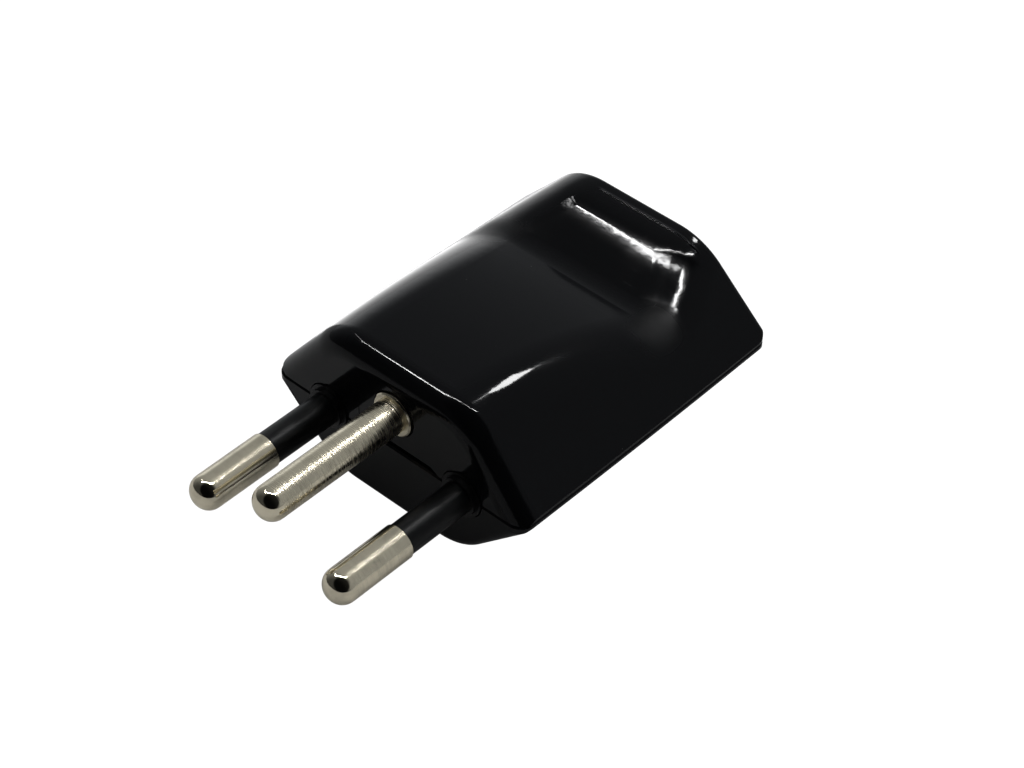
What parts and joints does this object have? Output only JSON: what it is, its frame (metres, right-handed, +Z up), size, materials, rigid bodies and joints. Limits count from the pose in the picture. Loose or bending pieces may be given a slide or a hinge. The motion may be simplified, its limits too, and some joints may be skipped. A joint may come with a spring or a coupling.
{
  "type": "swiss mains plug",
  "caption": "Flat hexagonal rewireable mains plug in glossy black half shells, with sleeved power pins, an offset bare earth pin and a thumb valley on top.",
  "frame": {"origin": "front face of the housing, midway between the live and neutral pins, in the plane where the two shells part", "axes": "-Y the way the pins point, +Y towards the cord inlet, +X towards the live pin, +Z up towards the earth pin"},
  "size_m": [0.0354, 0.0586, 0.0194],
  "materials": {
    "housing": "glossy black moulding",
    "sleeve": "satin black moulding",
    "contact": "nickel plated and turned",
    "screw": "zinc plated",
    "insert": "turned brass",
    "clamp": "matt black moulding"
  },
  "bodies": {
    "root": {"upper_shell": "housing", "lower_shell": "housing", "live_pin": "contact", "neutral_pin": "contact", "earth_pin": "contact", "live_sleeve": "sleeve", "neutral_sleeve": "sleeve", "terminal_screws": "screw", "cord_clamp": "clamp", "clamp_screws": "screw", "housing_screw": "screw", "housing_insert": "insert"}
  },
  "joints": []
}
